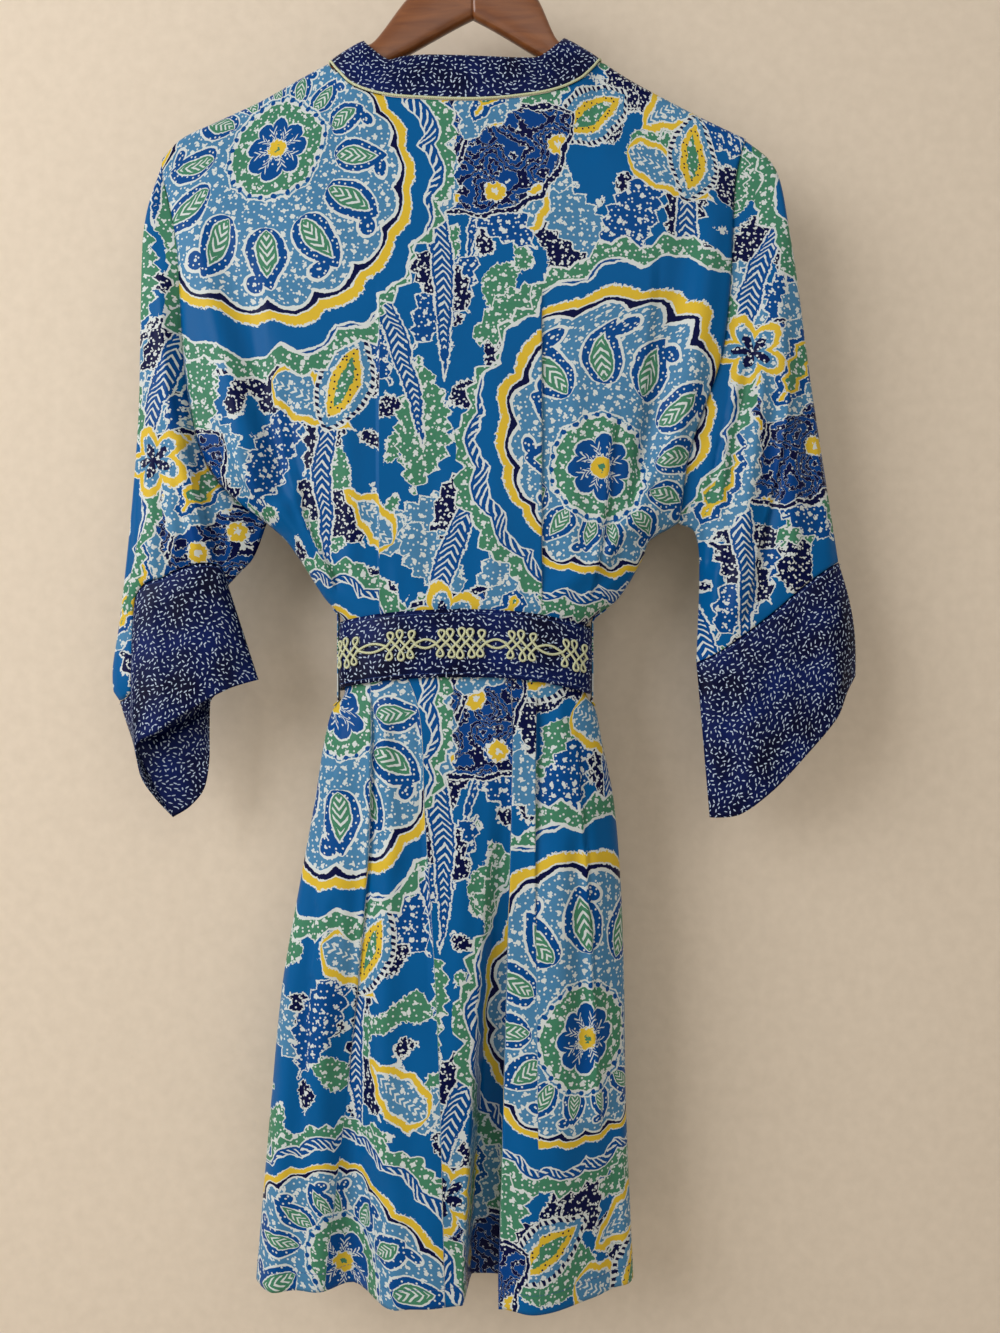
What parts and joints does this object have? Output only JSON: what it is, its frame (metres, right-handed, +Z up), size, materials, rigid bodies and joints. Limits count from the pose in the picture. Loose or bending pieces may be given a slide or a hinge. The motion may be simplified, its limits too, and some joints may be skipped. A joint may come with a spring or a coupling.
{
  "type": "kimono robe",
  "caption": "Short satin wrap robe with wide cuffed sleeves, a straight neckband and a braided sash belt, hanging on a wooden hanger.",
  "frame": {"origin": "bearing point inside the top of the hanger's hook", "axes": "+Z up, +X to the right as seen from the robe's back, -Y out of the robe's back"},
  "size_m": [0.6162, 0.1095, 1.1513],
  "materials": {
    "print_satin": "satin",
    "seed_satin": "satin",
    "pale_cord": "braided cord",
    "walnut_wood": "satin lacquer",
    "hook_steel": "plated"
  },
  "bodies": {
    "root": {"back": "print_satin", "front_left": "print_satin", "front_right": "print_satin", "sleeve_left": "print_satin", "sleeve_right": "print_satin", "cuff_left": "seed_satin", "cuff_right": "seed_satin", "neckband": "seed_satin", "neck_piping": "pale_cord", "belt": "seed_satin", "belt_braid": "pale_cord", "belt_loop_left": "print_satin", "belt_loop_right": "print_satin", "belt_knot": "seed_satin", "belt_tail_left": "seed_satin", "belt_tail_right": "seed_satin", "hanger_arm_left": "walnut_wood", "hanger_arm_right": "walnut_wood", "hanger_hook": "hook_steel"}
  },
  "joints": []
}
